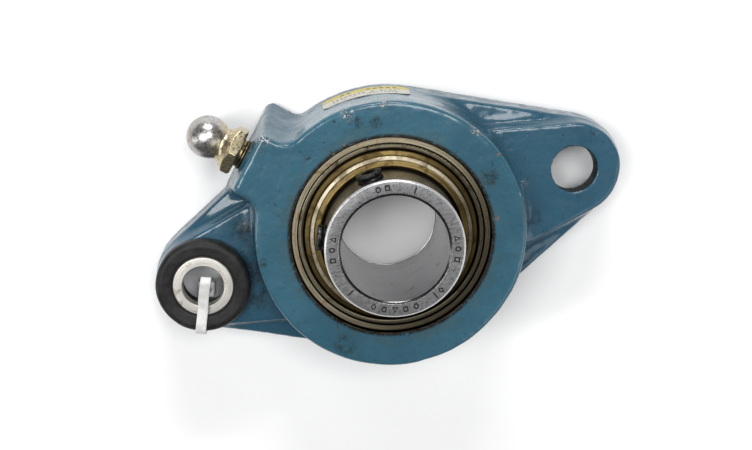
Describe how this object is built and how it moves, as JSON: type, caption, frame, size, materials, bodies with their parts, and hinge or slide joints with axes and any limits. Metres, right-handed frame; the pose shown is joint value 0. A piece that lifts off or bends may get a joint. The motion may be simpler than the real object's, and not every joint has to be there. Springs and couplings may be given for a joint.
{
  "type": "two-bolt flange bearing unit",
  "caption": "Two-bolt cast flange housing holding a self-aligning ball bearing insert with a set-screw collar and an elbow grease fitting.",
  "frame": {"origin": "centre of the shaft bore on the rear mounting face", "axes": "+Z along the shaft bore towards the front, +X along the line of the two bolt holes"},
  "size_m": [0.1248, 0.076, 0.0358],
  "materials": {
    "painted_casting": "gloss teal-blue enamel over rough cast iron",
    "bearing_steel": "ground bearing steel with a brassy oil film",
    "ground_steel": "ground and brushed bearing steel",
    "ball_steel": "polished",
    "cage_steel": "pressed",
    "rivet_steel": "plain",
    "carrier_steel": "dull pressed steel",
    "seal_rubber": "matte nitrile",
    "yellow_zinc": "yellow zinc plate",
    "black_oxide": "black oxide",
    "fitting_zinc": "worn yellow zinc plate",
    "spring_steel": "plain",
    "ring_rubber": "matte moulded rubber",
    "sleeve_steel": "turned steel",
    "label_paper": "printed paper"
  },
  "bodies": {
    "housing_body": {"housing": "painted_casting", "grease_elbow": "fitting_zinc", "grease_nozzle": "fitting_zinc", "nozzle_spring": "spring_steel", "rubber_ring": "ring_rubber", "spacer_sleeve": "sleeve_steel", "label": "label_paper"},
    "outer_race": {"outer_ring": "bearing_steel", "front_seal_carrier": "carrier_steel", "rear_seal_carrier": "carrier_steel", "front_seal_lip": "seal_rubber", "rear_seal_lip": "seal_rubber"},
    "inner_race": {"inner_ring": "ground_steel", "front_flinger": "yellow_zinc", "rear_flinger": "yellow_zinc"},
    "ball_cage": {"balls": "ball_steel", "cage_front": "cage_steel", "cage_rear": "cage_steel", "cage_rivets": "rivet_steel"},
    "screw_a": {"set_screw_a": "black_oxide"},
    "screw_b": {"set_screw_b": "black_oxide"},
    "check_ball": {"nozzle_check_ball": "ball_steel"}
  },
  "joints": [
    {"name": "insert_tilt", "type": "hinge", "parent": "housing_body", "child": "outer_race", "pos_m": [0, 0, 0.0155], "axis": [1, 0, 0], "range_deg": [-2, 2]},
    {"name": "shaft_spin", "type": "hinge", "parent": "outer_race", "child": "inner_race", "pos_m": [0, 0, 0.0155], "axis": [0, 0, 1], "continuous": true},
    {"name": "cage_spin", "type": "hinge", "parent": "outer_race", "child": "ball_cage", "pos_m": [0, 0, 0.0155], "axis": [0, 0, 1], "continuous": true},
    {"name": "set_screw_a_travel", "type": "slide", "parent": "inner_race", "child": "screw_a", "axis": [0.0436, -0.999, 0], "range_m": [0, 0.0015]},
    {"name": "set_screw_b_travel", "type": "slide", "parent": "inner_race", "child": "screw_b", "axis": [0.9239, -0.3827, 0], "range_m": [0, 0.0015]},
    {"name": "check_ball_lift", "type": "slide", "parent": "housing_body", "child": "check_ball", "axis": [0, 0, 1], "range_m": [0, 0.0008], "stiffness_N_per_m": 200, "deforming": ["nozzle_spring"]}
  ],
  "couplings": [
    {"joint": "cage_spin", "follows": "shaft_spin", "ratio": 0.398}
  ]
}
